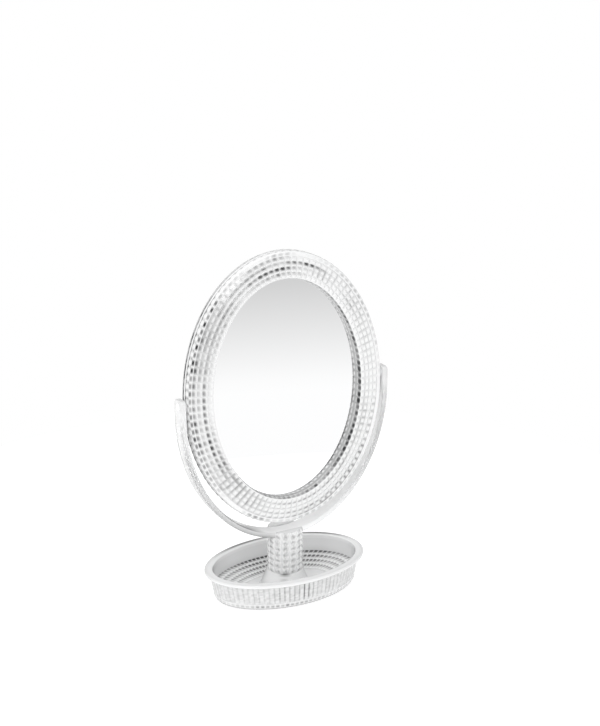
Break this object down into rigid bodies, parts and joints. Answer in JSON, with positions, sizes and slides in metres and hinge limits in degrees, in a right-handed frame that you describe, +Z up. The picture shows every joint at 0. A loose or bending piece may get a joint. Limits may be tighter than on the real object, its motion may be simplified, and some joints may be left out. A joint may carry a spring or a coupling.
{
  "type": "vanity mirror",
  "caption": "Table-top vanity mirror: an oval double-sided mirror swivels in a U-shaped yoke on a short post, which stands in an oval trinket tray.",
  "frame": {"origin": "middle of the footprint, on the table under the rubber feet", "axes": "+X to the right along the pivot axis as one faces the mirror, the mirror's front faces -Y, +Z up"},
  "size_m": [0.2156, 0.1062, 0.3303],
  "materials": {
    "crystal": "clear, cut pattern, polished",
    "silvered_glass": "silvered on its back",
    "backing": "thin sheet",
    "bush": "natural nylon",
    "clear_rubber": "clear soft plastic",
    "steel": "zinc plated"
  },
  "bodies": {
    "stand": {"tray": "crystal", "foot_pad_front_left": "clear_rubber", "foot_pad_front_right": "clear_rubber", "foot_pad_back_left": "clear_rubber", "foot_pad_back_right": "clear_rubber", "tie_washer": "steel", "tie_screw": "steel", "post": "crystal", "yoke": "crystal", "pivot_pin_left": "crystal", "pivot_pin_right": "crystal", "friction_washer_left": "clear_rubber", "friction_washer_right": "clear_rubber"},
    "mirror_head": {"front_ring": "crystal", "back_ring": "crystal", "front_glass": "silvered_glass", "back_glass": "silvered_glass", "backing_sheet": "backing", "pivot_bush_left": "bush", "pivot_bush_right": "bush"}
  },
  "joints": [
    {"name": "mirror_tilt", "type": "hinge", "parent": "stand", "child": "mirror_head", "pos_m": [0, 0, 0.201], "axis": [1, 0, 0], "continuous": true}
  ]
}
